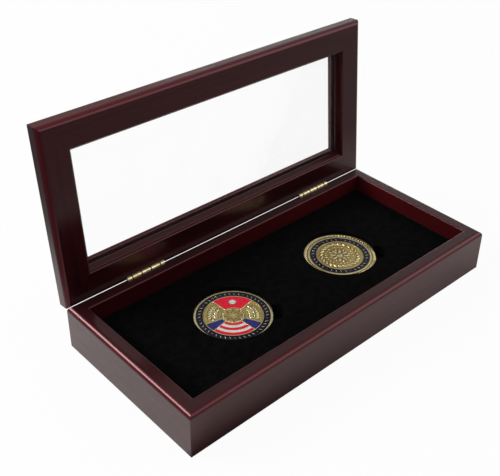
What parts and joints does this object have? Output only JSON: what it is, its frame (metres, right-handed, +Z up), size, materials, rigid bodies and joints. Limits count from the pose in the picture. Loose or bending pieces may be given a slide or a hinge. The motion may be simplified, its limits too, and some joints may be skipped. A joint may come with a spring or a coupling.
{
  "type": "coin display case",
  "caption": "Low hinged wooden presentation case with a glazed lid, shown open, and a dark velvet insert whose round pockets hold struck enamelled coins.",
  "frame": {"origin": "middle of the underside of the base, on the surface that it stands on", "axes": "+X along the length of the case to the right, +Y from the front to the hinge side, +Z up"},
  "size_m": [0.2286, 0.121, 0.1302],
  "materials": {
    "rosewood": "dark rosewood stain under satin lacquer",
    "bead": "dark rosewood stain under satin lacquer",
    "panel": "bare fibreboard",
    "board": "bare fibreboard",
    "felt": "felt",
    "velvet": "flocked velvet",
    "brass": "bright brass",
    "glass": "clear",
    "coin_metal": "antique gold plating",
    "navy_enamel": "soft enamel",
    "red_enamel": "soft enamel",
    "white_enamel": "soft enamel",
    "blue_enamel": "soft enamel"
  },
  "bodies": {
    "base": {"base_front_rail": "rosewood", "base_back_rail": "rosewood", "base_left_rail": "rosewood", "base_right_rail": "rosewood", "base_panel": "panel", "base_felt": "felt", "insert_board": "board", "velvet_cover": "velvet", "hinge_left_base_leaf": "brass", "hinge_left_pin": "brass", "hinge_right_base_leaf": "brass", "hinge_right_pin": "brass"},
    "lid": {"lid_front_rail": "rosewood", "lid_back_rail": "rosewood", "lid_left_rail": "rosewood", "lid_right_rail": "rosewood", "glazing_bead_front": "bead", "glazing_bead_back": "bead", "glazing_bead_left": "bead", "glazing_bead_right": "bead", "glass_pane": "glass", "hinge_left_lid_leaf": "brass", "hinge_right_lid_leaf": "brass"},
    "left_coin": {"left_coin": "coin_metal", "left_coin_navy_enamel": "navy_enamel", "left_coin_red_enamel": "red_enamel", "left_coin_white_enamel": "white_enamel", "left_coin_blue_enamel": "blue_enamel"},
    "right_coin": {"right_coin": "coin_metal", "right_coin_navy_enamel": "navy_enamel"}
  },
  "joints": [
    {"name": "lid_hinge", "type": "hinge", "parent": "base", "child": "lid", "pos_m": [0, 0.0508, 0.02765], "axis": [1, 0, 0], "range_deg": [0, 95]},
    {"name": "left_coin_lift", "type": "slide", "parent": "base", "child": "left_coin", "axis": [0, 0, 1], "range_m": [0, 0.012]},
    {"name": "right_coin_lift", "type": "slide", "parent": "base", "child": "right_coin", "axis": [0, 0, 1], "range_m": [0, 0.012]}
  ]
}
